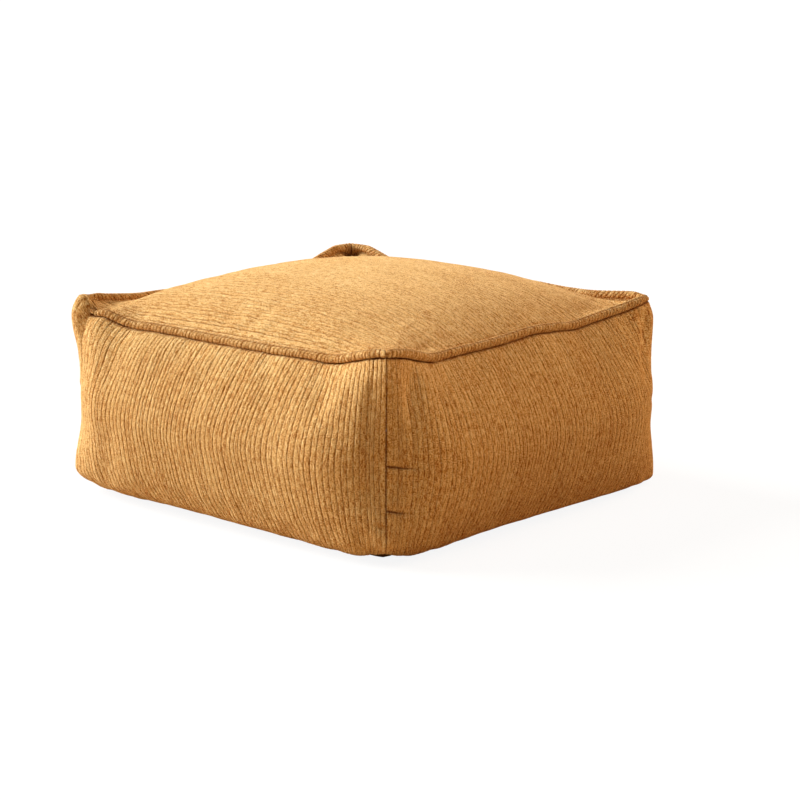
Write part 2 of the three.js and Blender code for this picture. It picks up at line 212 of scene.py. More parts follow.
# Creases that the seams pull in the side panels: end, the corner seam it starts from; share, of the
# side panel's height; slope, rise over run; length; width; depth; dark, how dark the painted shade along
# its line is
CREASES = table("side end share slope length width depth dark", [
    ("right", "start", 0.486, -0.10, 0.040, 0.00125, 0.0026, 0.85),
    ("right", "start", 0.282, -0.17, 0.036, 0.00125, 0.0030, 0.85),
    ("front", "end", 0.200, 0.05, 0.024, 0.0030, 0.0014, 0.10),
    ("back", "end", 0.360, 0.08, 0.026, 0.0010, 0.0015, 0.70),
    ("left", "start", 0.250, -0.10, 0.028, 0.0010, 0.0016, 0.75),
])

# Across one rib, from valley to valley: where the mesh has its lines
RIB_STOPS = (0.0, 0.075, 0.20, 0.38, 0.5, 0.62, 0.80, 0.925)
SIDE_HEIGHT = 0.262  # cloth from the base seam to the welt, at the middle of a side
ROW_STEP = 0.0026
SEAM_STEPS = (0.0, 0.0005, 0.0011, 0.0018, 0.0027, 0.0038, 0.0052)
TOP_STEP = 0.0034

# Relief of a rib, in shares of its depth, and how its valleys close and how wide their painted shade is, in
# shares of its width
RIB_CROWN, RIB_CUT, RIB_NOTCH = 0.14, 0.74, 0.26
CUT_WIDTH = 0.065
NOTCH_WIDTH = 0.09
SIDE_LINE, TOP_LINE, WELT_LINE = 0.064, 0.075, 0.20
PLAIN_REACH = 0.030  # from a corner seam, where the ribs are fainter
KNOT_STEP = 0.030  # along a rib, from one change of its depth and tone to the next
# Painted sheen: the middle of the top is painted paler
PAINTED_SHEEN_CROWN = 1.7  # how much paler the pile is in the middle of the top

# How the panels turn in at their seams
CORNER_ROLL = 0.0009
WELT_ROLL = 0.0038
TOP_ROLL = 0.0024
BARE_ROLL = 0.0010
BASE_ROLL = 0.0022
UNDER_WELT = 0.0042
BESIDE_WELT = 0.0030
STRIP_SUNK = 0.0036
SEAM_GAP = 0.00015
STITCH_PITCH = 0.0038

# Settling the cover over its filling
SETTLE_CUTS = 35
SETTLE_FRAMES = 24
SETTLE_BLUR = 14
SETTLE_SHARE = 0.32

# Welt
WELT_PITCH = 0.0052
WELT_SIDES = 24
WELT_CAP_RINGS = 7
MITRE_WITHIN = 0.010  # a strip that ends this close to the ear's tip is cut on the slant
THIN_REACH = 0.024  # from an end, where the strip thins
CUT_END, FOLDED_END = 0.38, 1.0  # how far an end rounds off, in radii

# The photograph's camera
CAMERA_AZIMUTH = 41.42
CAMERA_ELEVATION = 12.88
CAMERA_DISTANCE = 2.611
CAMERA_TARGET = Vector((0.0, 0.0, 0.100))
CAMERA_ASIDE = 0.0381
CAMERA_BELOW = 0.0004
CAMERA_ROLL = 0.39
LENS = 104.45


class OttomanSizes(bpy.types.PropertyGroup):
    rib_pitch: bpy.props.FloatProperty(
        name="Rib pitch", description="From one rib of the cloth to the next",
        default=0.0062, min=0.004, max=0.012, precision=4, unit="LENGTH")
    rib_depth: bpy.props.FloatProperty(
        name="Rib depth", description="From the crest of a rib to its deepest valley",
        default=0.0011, min=0.0, max=0.003, precision=4, unit="LENGTH")
    pile: bpy.props.FloatProperty(
        name="Pile", description="Height of the short pile on the ribs",
        default=0.0011, min=0.0, max=0.002, precision=5, unit="LENGTH")
    thickness: bpy.props.FloatProperty(
        name="Padding", description="Thickness of the padded cloth of a panel",
        default=0.005, min=0.002, max=0.010, precision=4, unit="LENGTH")
    welt_radius: bpy.props.FloatProperty(
        name="Welt radius", description="Radius of the sewn welt",
        default=0.005, min=0.003, max=0.008, precision=4, unit="LENGTH")
    filling: bpy.props.FloatProperty(
        name="Filling", description="Pressure of the filling while the cover settles",
        default=6.0, min=0.0, max=20.0)
    settle_limit: bpy.props.FloatProperty(
        name="Settling limit", description="How far a point of the cover may move as it settles",
        default=0.006, min=0.0, max=0.012, precision=4, unit="LENGTH")


class OttomanColours(bpy.types.PropertyGroup):
    cloth: bpy.props.FloatVectorProperty(
        name="Cloth", description="Ochre pile on the ribs", subtype="COLOR", size=3,
        default=(0.755, 0.402, 0.126), min=0.0, max=1.0)
    deep: bpy.props.FloatVectorProperty(
        name="Deep pile", description="Shaded hollows between the tufts", subtype="COLOR", size=3,
        default=(0.390, 0.125, 0.018), min=0.0, max=1.0)
    # Colour of the bare ground between the ribs, and also of the painted shade in the valleys, seams,
    # creases and under the welts
    valley: bpy.props.FloatVectorProperty(
        name="Valleys", description="Ground of the cloth between the ribs", subtype="COLOR", size=3,
        default=(0.275, 0.080, 0.007), min=0.0, max=1.0)
    # Also the colour of the painted sheen that makes the middle of the top paler
    brushed: bpy.props.FloatVectorProperty(
        name="Brushed pile", description="Pile that is brushed up or worn pale", subtype="COLOR", size=3,
        default=(0.940, 0.650, 0.310), min=0.0, max=1.0)
    base: bpy.props.FloatVectorProperty(
        name="Base cloth", description="Plain cloth under the ottoman", subtype="COLOR", size=3,
        default=(0.550, 0.260, 0.090), min=0.0, max=1.0)
    floor: bpy.props.FloatVectorProperty(
        name="Floor", description="Plain pale floor", subtype="COLOR", size=3,
        default=(0.13, 0.13, 0.13), min=0.0, max=1.0)


# Curves and smooth noise

def smooth(t):
    t = np.clip(t, 0.0, 1.0)
    return t * t * (3.0 - 2.0 * t)


def bump(t):
    return np.exp(-t * t)


def rolled(distance, radius):
    """How far a panel has turned in at a distance from its seam, round an edge of that radius."""
    share = np.clip(1.0 - distance / radius, 0.0, 1.0)
    return radius * (1.0 - np.sqrt(1.0 - share * share))


def sampled(grid, rows, cols):
    """Smooth values of a coarse grid at fractional rows and columns."""
    def taps(place, count):
        start = np.clip(np.floor(place).astype(int), 0, count - 2)
        t = place - start
        weights = (
            (-t ** 3 + 2 * t ** 2 - t) / 2,
            (3 * t ** 3 - 5 * t ** 2 + 2) / 2,
            (-3 * t ** 3 + 4 * t ** 2 + t) / 2,
            (t ** 3 - t ** 2) / 2,
        )
        return [(np.clip(start + k - 1, 0, count - 1), weight) for k, weight in enumerate(weights)]

    rows, cols = np.broadcast_arrays(rows, cols)
    total = 0.0
    for row, row_weight in taps(rows, grid.shape[0]):
        for col, col_weight in taps(cols, grid.shape[1]):
            weight = row_weight * col_weight
            total = total + grid[row, col] * (weight[..., None] if grid.ndim == 3 else weight)
    return total


def soft_noise(rng, across, along, grain_across, grain_along):
    """Smooth seeded noise from -1 to 1 over places in metres, with grains of these sizes."""
    rows = (across - across.min()) / grain_across
    cols = (along - along.min()) / grain_along
    grid = rng.uniform(-1, 1, (int(rows.max()) + 3, int(cols.max()) + 3))
    return sampled(grid, rows, cols)


def unit(vectors):
    return vectors / np.maximum(np.linalg.norm(vectors, axis=-1, keepdims=True), 1e-12)


# Shape of the cushion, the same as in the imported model

def past_ears(u):
    return smooth((1 - np.abs(u)) * HALF / EAR_LENGTH)


def welt_drop(side, u):
    drop = side["droop"] * past_ears(u)
    clear = smooth((1 - np.abs(u)) * HALF / WAVE_CLEAR)
    for wave in WELT_WAVES:
        if wave["side"] == side["name"]:
            drop = drop - wave["rise"] * bump((u * HALF - wave["at"]) / wave["reach"]) * clear
    return drop


def ear_rise(side, u):
    """Height of the welt above an even one where a side climbs to its two ears."""
    start, end = corners_of(side)
    from_start, from_end = (1 + u) * HALF, (1 - u) * HALF
    return (start["rise"] * (1 - smooth(from_start / RISE_REACH))
            + end["rise"] * (1 - smooth(from_end / RISE_REACH)))


def corners_of(side):
    place = SIDES.index(side)
    return CORNERS[place], CORNERS[(place + 1) % len(CORNERS)]


def corner_seam(corner, v, beside):
    """Half the width between the corner seams and their height, at share v of a side panel. beside is
    1 at the seam itself, where the foot is drawn up, and falls to 0 away from it."""
    turn = np.clip(v / FOOT_SHARE, 0, 1) * math.pi / 2
    power = corner["power"] + 100 * corner["notch"] * beside
    low = BASE_SEAM_HEIGHT + corner["notch"] * beside
    to_waist = smooth((v - FOOT_SHARE) / (WAIST_SHARE - FOOT_SHARE))
    to_ear = np.clip((v - WAIST_SHARE) / (1 - WAIST_SHARE), 0, 1)
    foot_half = FOOT_TUCKED + (corner["foot"] - FOOT_TUCKED) * np.sin(turn) ** power
    foot_height = low + (corner["height"] - low) * (1 - np.cos(turn).clip(0) ** power)
    height = corner["height"] + (EAR_HEIGHT - corner["height"]) * (v - FOOT_SHARE) / (1 - FOOT_SHARE)
    half = corner["foot"] + (corner["waist"] - corner["foot"]) * to_waist
    half = half + (HALF - corner["waist"]) * to_ear ** 2
    swell = corner["swell"] * bump((height - EAR_SWELL_HEIGHT) / EAR_SWELL_REACH)
    below = 1 - np.clip((EAR_HEIGHT - height) / corner["shoulder"], 0, 1)
    half = half + swell * np.sqrt(1 - below * below)
    under = v < FOOT_SHARE
    return np.where(under, foot_half, half), np.where(under, foot_height, height)


def side_seams(side, u, v):
    """The same, blended along a side from one of its corners to the other."""
    beside = bump((1 - np.abs(u)) * HALF / NOTCH_REACH)
    start, end = (corner_seam(corner, v, beside) for corner in corners_of(side))
    share = (1 + u) / 2
    return start[0] + (end[0] - start[0]) * share, start[1] + (end[1] - start[1]) * share


def trough(lengthwise, sideways, fold):
    return fold["depth"] * bump(lengthwise / fold["length"]) * bump(sideways / fold["width"])


def side_fold_depth(side, at, up):
    depth = 0.0
    for fold in SIDE_FOLDS + EAR_PLEATS:
        if fold["side"] == side["name"]:
            lean = math.radians(fold["lean"])
            across, rise = at - fold["at"], up - fold["up"]
            depth = depth + trough(
                across * math.sin(lean) + rise * math.cos(lean),
                across * math.cos(lean) - rise * math.sin(lean),
                fold,
            )
    return depth


def top_fold_depth(x, y):
    depth = 0.0
    for fold in TOP_FOLDS + TOP_PLEATS:
        heading = math.radians(fold["heading"])
        dx, dy = x - fold["x"], y - fold["y"]
        depth = depth + trough(
            dx * math.cos(heading) + dy * math.sin(heading),
            dy * math.cos(heading) - dx * math.sin(heading),
            fold,
        )
    return depth


def rounded_ear(points):
    """The tip of each ear is a soft knob: points close to it are drawn in or out, and stand up."""
    moved = points
    for corner, signs in zip(CORNERS, CORNER_SIGNS):
        here = (points[..., :1] * signs[0] > 0) & (points[..., 1:2] * signs[1] > 0)
        tip = np.array([signs[0] * HALF, signs[1] * HALF, EAR_HEIGHT + corner["rise"]])
        away = np.linalg.norm(points - tip, axis=-1, keepdims=True)
        pull = corner["pinch"] / math.sqrt(2) * smooth(1 - away / EAR_ROUND)
        lifted = corner["knob"] * smooth(1 - away / corner["cap"])
        moved = moved + here * np.concatenate([-signs[0] * pull, -signs[1] * pull, lifted], axis=-1)
    return moved


def side_point(side, u, v):
    """Points of a side panel: u from -1 to 1 along the side, v from 0 at the base seam to 1 at the welt."""
    u, v = np.broadcast_arrays(np.asarray(u, float), np.asarray(v, float))
    half, height = side_seams(side, u, v)
    fullness = 1 - np.abs(u) ** FULLNESS
    towards_welt = np.clip((v - 0.45) / 0.55, 0, 1) ** 2
    at = u * half
    start, end = corners_of(side)
    share = (1 + u) / 2
    hang = fullness + (1 - fullness) * (start["hang"] + (end["hang"] - start["hang"]) * share)
    sag = ((start["sag"] + (end["sag"] - start["sag"]) * share) * hang * smooth((np.abs(u) - 0.3) / 0.4)
           * np.sin(math.pi * np.clip(v / FOOT_SHARE, 0, 1) ** 0.6) ** 2)
    up = height - sag - (welt_drop(side, u) - ear_rise(side, u)) * v ** 1.6
    swell = side["bulge"] * np.sin(math.pi * v).clip(0) ** 0.9 * fullness
    belly = BASE_BELLY * fullness * (1 - v) ** 2
    on_panel = smooth(6 * v) * smooth(8 * (1 - v)) * smooth(12 * (1 - np.abs(u)))
    out = half - side["draw"] * past_ears(u) * towards_welt + swell + belly
    out = out - side_fold_depth(side, at, up) * on_panel
    along, outward = side["along"], side["out"]
    return rounded_ear(np.stack(
        [at * along[0] + out * outward[0], at * along[1] + out * outward[1], up], axis=-1))


def top_point(u, w):
    """Points of the top panel, u and w from -1 to 1 along X and Y."""
    u, w = np.broadcast_arrays(np.asarray(u, float), np.asarray(w, float))
    front, right, back, left = SIDES

    def near(share):
        return (1 + share) / 2

    x = u * HALF - right["draw"] * past_ears(w) * near(u) + left["draw"] * past_ears(w) * near(-u)
    y = w * HALF - back["draw"] * past_ears(u) * near(w) + front["draw"] * past_ears(u) * near(-w)
    sunk = (welt_drop(front, u) * near(-w) ** 8 + welt_drop(right, w) * near(u) ** 8
            + welt_drop(back, -u) * near(w) ** 8 + welt_drop(left, -w) * near(-u) ** 8)
    dome = ((1 - np.abs(u) ** 2.35) * (1 - np.abs(w) ** 2.35)) ** 0.8
    on_panel = smooth(12 * (1 - np.abs(u))) * smooth(12 * (1 - np.abs(w)))
    across, along = (1 - np.abs(u)) * HALF, (1 - np.abs(w)) * HALF
    sheltered = (smooth(across / HOLLOW_RIM) * smooth(along / HOLLOW_RIM)
                 * np.exp(-(across ** 2 + along ** 2) / HOLLOW_REACH ** 2))
    hollow = risen = 0.0
    for corner, (right_of, behind) in zip(CORNERS, CORNER_SIGNS):
        hollow = hollow + corner["hollow"] * sheltered * (u * right_of > 0) * (w * behind > 0)
        risen = risen + (corner["rise"] * (1 - smooth((1 - u * right_of) * HALF / RISE_REACH))
                         * (1 - smooth((1 - w * behind) * HALF / RISE_REACH)))
    z = EAR_HEIGHT + risen - sunk + CROWN * dome - hollow - top_fold_depth(x, y) * on_panel
    return rounded_ear(np.stack([x, y, z], axis=-1))


def welt_cover(side, u):
    """1 where the welt lies on the top seam of a side, 0 past its ends."""
    start = smooth((u * HALF + HALF - side["welt_from"]) / 0.005 + 0.8)
    return start * smooth((HALF - u * HALF - side["welt_to"]) / 0.005 + 0.8)


# Settling: the sewn cover puffs and wrinkles a little over its filling

def settled_cover(sizes):
    """How far the cover of each panel moves as it settles, on a coarse grid, in metres."""
    count = SETTLE_CUTS + 2
    names = ["top"] + [side["name"] for side in SIDES]
    moves = {name: np.zeros((count, count, 3)) for name in names}

    bpy.ops.object.select_all(action="DESELECT")
    bpy.ops.mesh.primitive_cube_add(size=2)
    cover = bpy.context.object
    cover.name = "settling_cover"
    bpy.ops.object.mode_set(mode="EDIT")
    bpy.ops.mesh.select_all(action="SELECT")
    bpy.ops.mesh.subdivide(number_cuts=SETTLE_CUTS)
    bpy.ops.object.mode_set(mode="OBJECT")

    place = vertex_places(cover.data)
    grid = np.rint((place + 1) / 2 * (count - 1)).astype(int)
    share = grid / (count - 1) * 2 - 1
    u, w, v = share[:, 0], share[:, 1], (share[:, 2] + 1) / 2
    last = count - 1
    spots = {"top": (grid[:, 2] == last, grid[:, 1], grid[:, 0])}
    start = np.stack([u * FOOT_TUCKED, w * FOOT_TUCKED, np.full_like(u, BASE_SEAM_HEIGHT)], axis=-1)
    for side in SIDES:
        run = u * side["along"][0] + w * side["along"][1]
        outward = u * side["out"][0] + w * side["out"][1]
        on_side = outward > 1 - 1e-6
        start[on_side] = side_point(side, run[on_side], v[on_side])
        spots[side["name"]] = (on_side, grid[:, 2], np.rint((run + 1) / 2 * last).astype(int))
    on_top = spots["top"][0]
    start[on_top] = top_point(u[on_top], w[on_top])
    cover.data.vertices.foreach_set("co", start.ravel())
    cover.data.update()

    edges = (np.abs(share) > 1 - 1e-6).sum(axis=1) > 1
    held = edges | (grid[:, 2] == 0)
    sewn = cover.vertex_groups.new(name="sewn")
    sewn.add(np.flatnonzero(held).tolist(), 1.0, "REPLACE")
    add_cloth(cover, sewn.name, sizes.filling)
    scene = bpy.context.scene
    scene.frame_start, scene.frame_end = 1, SETTLE_FRAMES
    for number in range(1, SETTLE_FRAMES + 1):
        scene.frame_set(number)
    bpy.ops.object.modifier_apply(modifier="Cloth")
    move = vertex_places(cover.data) - start
    length = np.linalg.norm(move, axis=1, keepdims=True)
    move = move * np.minimum(1.0, sizes.settle_limit / np.maximum(length, 1e-9))
    move[held] = 0
    for name, (chosen, row, col) in spots.items():
        moves[name][row[chosen], col[chosen]] = move[chosen]
        moves[name] = (moves[name] - broad(moves[name])) * SETTLE_SHARE
    bpy.data.objects.remove(cover)
    scene.frame_set(1)
    return moves


def broad(move):
    """The broad part of a panel's movement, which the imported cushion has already."""
    for _ in range(SETTLE_BLUR):
        inner = (move[:-2, 1:-1] + move[2:, 1:-1] + move[1:-1, :-2] + move[1:-1, 2:]) / 4
        move = np.pad(inner, ((1, 1), (1, 1), (0, 0)))
    return move


def add_cloth(cover, held, pressure):
    bpy.context.view_layer.objects.active = cover
    bpy.ops.object.modifier_add(type="CLOTH")
    cloth = cover.modifiers["Cloth"]
    settings = cloth.settings
    settings.quality = 6
    settings.mass = 0.02
    settings.air_damping = 2.0
    settings.tension_stiffness = 15
    settings.compression_stiffness = 6
    settings.shear_stiffness = 4
    settings.bending_stiffness = 0.15
    settings.use_pressure = True
    settings.uniform_pressure_force = pressure
    settings.shrink_min = -0.018
    settings.vertex_group_mass = held
    settings.pin_stiffness = 50
    settings.effector_weights.gravity = 0
    cloth.collision_settings.use_collision = False
    cloth.collision_settings.use_self_collision = False
    cloth.point_cache.frame_start = 1
    cloth.point_cache.frame_end = SETTLE_FRAMES + 2


def vertex_places(mesh):
    places = np.empty(len(mesh.vertices) * 3)
    mesh.vertices.foreach_get("co", places)
    return places.reshape(-1, 3)


# Ribbed cloth

def rib_field(width, pitch, depth, along, rng, line):
    """Ribs over a width of cloth: share of the width for each mesh line, and over those lines and the
    places along them the relief in metres, how far painted shade and the bare ground darken a point in a
    valley, and its tone. line: width of a valley's painted dark line, as a share of a rib."""
    count = max(8, round(width / pitch))
    widths = 1 + 0.17 * rng.normal(size=count).clip(-1.8, 1.8)
    edges = np.concatenate([[0.0], np.cumsum(widths)]) / widths.sum()
    rib = np.repeat(np.arange(count), len(RIB_STOPS))
    stop = np.tile(RIB_STOPS, count)
    rib, stop = np.append(rib, count - 1), np.append(stop, 1.0)
    share = edges[rib] + (edges[rib + 1] - edges[rib]) * stop

    knots = int((along.max() - along.min()) / KNOT_STEP) + 4
    place = (along - along.min()) / KNOT_STEP
    valleys = rng.uniform(0.72, 1.0, (count + 1, 1)) * rng.uniform(0.62, 1.2, (count + 1, knots)).clip(0, 1)
    seconds = rng.uniform(-0.5, 0.9, (count, knots)).clip(0, 1) * rng.uniform(0.3, 1.0, (count, 1))
    left = sampled(valleys, rib[:, None] * 1.0, place[None, :]).clip(0, 1.1)
    right = sampled(valleys, rib[:, None] + 1.0, place[None, :]).clip(0, 1.1)
    second = sampled(seconds, rib[:, None] * 1.0, place[None, :]).clip(0, 1)

    stop = stop[:, None]
    crown = np.sqrt((4 * stop * (1 - stop)).clip(0, 1))
    cut = left * np.exp(-stop / CUT_WIDTH) + right * np.exp(-(1 - stop) / CUT_WIDTH)
    notch = second * bump((stop - 0.5) / NOTCH_WIDTH)
    relief = depth * (RIB_CROWN * crown - RIB_CUT * cut - RIB_NOTCH * notch)
    # Painted shade in the valleys between the ribs, over the bare ground of the cloth
    valley = left * np.exp(-stop / line) + right * np.exp(-(1 - stop) / line) + 0.55 * notch
    tones = rng.normal(size=(count, knots)) * 0.35 + rng.normal(size=(count, 1)) * 0.35
    tone = sampled(tones, rib[:, None] * 1.0, place[None, :])
    return share, relief, valley.clip(0, 1), tone


def seam_spaced(length, step):
    """Places from 0 to length, close together at both ends."""
    ends = np.array(SEAM_STEPS)
    middle = np.linspace(ends[-1], length - ends[-1], int(round((length - 2 * ends[-1]) / step)) + 1)
    return np.concatenate([ends[:-1], middle, length - ends[:-1][::-1]])


def with_normals(points):
    """Outward unit normals of a grid of points whose columns run right and rows run up."""
    return unit(np.cross(np.gradient(points, axis=1), np.gradient(points, axis=0)))


def side_panel(side, sizes, moves):
    """Grid of one side panel: points, inward directions, cloth places, valley with its painted shade, and
    tone.
    """
    rng = np.random.default_rng(side["seed"])
    up = seam_spaced(SIDE_HEIGHT, ROW_STEP)
    creases = [crease for crease in CREASES if crease["side"] == side["name"]]
    for crease in creases:
        if crease["width"] < ROW_STEP / 2:
            up = np.append(up, crease["share"] * SIDE_HEIGHT + np.arange(-0.0046, 0.0024, 0.0007))
    up = np.unique(np.round(up, 5))
    v = (up / SIDE_HEIGHT)[:, None]
    share, relief, valley, tone = rib_field(SPAN, sizes.rib_pitch, sizes.rib_depth, up, rng, SIDE_LINE)
    relief, valley, tone = relief.T, valley.T, tone.T
    c = (share * 2 - 1)[None, :]
    across, along = c * HALF + 0 * v, up[:, None] + 0 * c

    fan = side["fan"] * bump((c - side["fan_at"]) / 0.26) * smooth((1 - np.abs(c)) * 12)
    lean = (side["lean"] * (1 - c ** 2) + fan) * smooth((v - 0.45) / 0.55)
    lean = lean + side["sweep"] * (1 - c ** 4) * (1 - v / 0.5).clip(0) ** 1.5
    start, end = corners_of(side)
    crowd = end["crowd"] * bump((c - 0.78) / 0.24) - start["crowd"] * bump((c + 0.78) / 0.24)
    lean = lean + crowd * np.sin(math.pi * v) * smooth((1 - np.abs(c)) * 8)
    wander = 0.0008 * soft_noise(rng, across, along, 0.045, 0.050)
    wander = wander + 0.00022 * soft_noise(rng, across, along, 0.007, 0.014)
    u = c + (lean + wander * smooth((1 - np.abs(c)) * 12)) / HALF
    u[:, 0], u[:, -1] = -1, 1

    points = side_point(side, u, v)
    last = moves.shape[0] - 1
    points = points + sampled(moves, v * last + 0 * u, (u + 1) / 2 * last)
    normals = with_normals(points)

    half = side_seams(side, u, v)[0]
    from_start, from_end = (1 + u) * half, (1 - u) * half
    from_welt, from_base = SIDE_HEIGHT - along, along
    inside = (smooth(from_start / 0.012) * smooth(from_end / 0.012)
              * smooth(from_welt / 0.014) * smooth(from_base / 0.010))
    lumps = (0.0005 * soft_noise(rng, across, along, 0.055, 0.070)
             + 0.0004 * soft_noise(rng, across, along, 0.019, 0.026))
    ribbed = 1 - start["plain"] * (1 - smooth(from_start / PLAIN_REACH))
    ribbed = ribbed * (1 - 0.3 * end["plain"] * (1 - smooth(from_end / PLAIN_REACH)))
    relief, valley = relief * ribbed, valley * ribbed
    lift = relief * smooth(from_welt / 0.004) * (0.35 + 0.65 * smooth(from_base / 0.030)) + lumps * inside
    lift = lift - seam_puckers(rng, across, from_welt, 0.011) * inside
    lift = lift - seam_puckers(rng, along, from_start, 0.016) * inside
    lift = lift - seam_puckers(rng, along, from_end, 0.016) * inside
    lift = lift - allowance_valley(from_start, side["ridge_start"], along)
    lift = lift - allowance_valley(from_end, side["ridge_end"], along)
    # Painted shade along the crease lines
    creased = np.zeros_like(lift)
    for crease in creases:
        run = from_start if crease["end"] == "start" else from_end
        drop, dark = crease_shape(crease, run, along)
        lift = lift - drop
        creased = np.maximum(creased, dark)
    points = points + normals * lift[..., None]

    along_dir, out_dir = direction(side["along"]), direction(side["out"])
    upward = np.array([0.0, 0.0, 1.0])
    for distance, sign in ((from_start, -1), (from_end, 1)):
        turned = rolled(distance, CORNER_ROLL)[..., None]
        points = points - unit(out_dir + sign * along_dir) * turned
        points = points - sign * along_dir * SEAM_GAP * smooth(1 - distance / 0.002)[..., None]
    cover = welt_cover(side, u)
    stitched = 1 + 0.10 * np.sin(2 * math.pi * across / STITCH_PITCH) * cover
    at_tip = 1 - smooth(np.minimum(from_start, from_end) / 0.011)
    radius = (BARE_ROLL + (WELT_ROLL - BARE_ROLL) * cover * (1 - 0.75 * at_tip)) * stitched
    turned = rolled(from_welt - UNDER_WELT * cover, radius)[..., None]
    points = points - unit(out_dir + upward * (1 - cover[..., None])) * turned
    points = points - upward * (STRIP_SUNK * cover * smooth(1 - from_welt / 0.007))[..., None]
    points = points + upward * rolled(from_base, BASE_ROLL)[..., None]

    # Painted shade in the corner seams, along the creases, in the groove under the welt and at the base
    # seam
    groove = np.maximum(smooth(1 - from_start / 0.0011), smooth(1 - from_end / 0.0011))
    groove = np.maximum(groove, creased)
    under_welt = smooth(1 - (from_welt - UNDER_WELT * cover) / 0.0036)
    groove = np.maximum(groove, under_welt * (0.15 + 0.85 * cover))
    groove = np.maximum(groove, 0.8 * smooth(1 - from_base / 0.004))
    inward = -normals
    inward[:, 0] += along_dir
    inward[:, -1] -= along_dir
    inward[0] += upward
    inward[-1] -= 2 * upward
    cloth_place = np.stack([across, along], axis=-1)
    return points, unit(inward), cloth_place, np.maximum(valley, groove), tone


def crease_shape(crease, run, along):
    """How deep a crease is at a distance from its corner seam, with the puffs beside it, and how dark its
    painted shade is.
    """
    length, width = crease["length"], crease["width"]
    fade = smooth(run / 0.0008) * (1 - smooth((run / length - 0.10) / 0.90))
    fall = crease["slope"] * length * (1 - np.exp(-2.5 * run / length))
    off = along - crease["share"] * SIDE_HEIGHT - fall
    puffs = bump((np.abs(off) - 0.0085) / 0.0055)
    line = bump(off / (width * (1.9 - 1.1 * run / length).clip(0.8)))
    return fade * crease["depth"] * (bump(off / width) - 0.45 * puffs), fade * crease["dark"] * line


def direction(pair):
    return np.array([pair[0], pair[1], 0.0])


def seam_puckers(rng, run, distance, reach):
    """Small hollows where the stitching gathers the cloth, fading away from the seam."""
    noise = soft_noise(rng, run, 0 * run, 0.011, 1.0)
    return 0.0010 * noise * np.exp(-np.abs(distance) / reach)


def allowance_valley(distance, at, along):
    """The line beside a corner seam where the turned-in seam allowance ends."""
    fade = 0.55 + 0.45 * np.cos(along * 31.0 + at * 400.0)
    return 0.0007 * fade * bump((distance - at) / 0.0016) + 0.0005 * bump((distance - at) / 0.006)


def top_panel(sizes, moves):
    """Grid of the top panel, its rows along the ribs, with the same results as side_panel."""
    rng = np.random.default_rng(21)
    run = seam_spaced(SPAN, TOP_STEP)
    u = (run / HALF - 1)[None, :]
    share, relief, valley, tone = rib_field(SPAN, sizes.rib_pitch, sizes.rib_depth, run, rng, TOP_LINE)
    c = (share * 2 - 1)[:, None]
    across, along = c * HALF + 0 * u, u * HALF + 0 * c
    wander = 0.0009 * soft_noise(rng, across, along, 0.050, 0.060)
    wander = wander + 0.00022 * soft_noise(rng, across, along, 0.007, 0.014)
    w = c + wander * smooth((1 - np.abs(c)) * 12) / HALF
    w[0], w[-1] = -1, 1

    points = top_point(u, w)
    last = moves.shape[0] - 1
    points = points + sampled(moves, (w + 1) / 2 * last, (u + 1) / 2 * last + 0 * w)
    normals = with_normals(points)
    u = u + 0 * w

    brushed = 1.05 + 0.25 * soft_noise(rng, across, along, 0.090, 0.120)
    inside = smooth((1 - np.abs(u)) * HALF / 0.014) * smooth((1 - np.abs(w)) * HALF / 0.014)
    lumps = (0.0005 * soft_noise(rng, across, along, 0.060, 0.075)
             + 0.0004 * soft_noise(rng, across, along, 0.020, 0.027))
    lift = relief * brushed + lumps * inside
    upward = np.array([0.0, 0.0, 1.0])
    groove = np.zeros_like(u)
    shift = np.zeros_like(points)
    inward = -normals
    for side in SIDES:
        side_run = u * side["along"][0] + w * side["along"][1]
        outward = u * side["out"][0] + w * side["out"][1]
        distance = (1 - outward) * HALF
        cover = welt_cover(side, side_run)
        lift = lift - seam_puckers(rng, side_run * HALF, distance, 0.012) * inside
        beside_it = smooth(distance / 0.0045) * (1 - smooth((distance - 0.007) / 0.018))
        lift = lift - side["tuck"] * cover * beside_it
        radius = BARE_ROLL + (TOP_ROLL - BARE_ROLL) * cover
        beside = (BESIDE_WELT - 0.68 * side["tuck"]) * cover
        turned = rolled(distance - beside, radius)[..., None]
        out_dir = direction(side["out"])
        shift -= unit(upward + out_dir * (1 - cover[..., None])) * turned
        # Painted shade in the groove between the top panel and the welt
        groove = np.maximum(groove, 0.95 * smooth(1 - (distance - beside) / 0.0022) * cover)
        inward[distance < 1e-9] -= out_dir
    points = points + normals * lift[..., None] + shift
    cloth_place = np.stack([across, along], axis=-1)
    # Painted sheen: the tone is raised towards the middle of the top, which pales the pile there
    painted_sheen = PAINTED_SHEEN_CROWN * (1 - (u ** 2 + w ** 2) / 1.3).clip(0)
    return points, unit(inward), cloth_place, np.maximum(valley * brushed, groove), tone + painted_sheen


# Meshes

def marks(count, step):
    """Every so many of a row of points, with both ends."""
    return np.unique(np.rint(np.linspace(0, count - 1, max(3, round(count / step)))).astype(int))


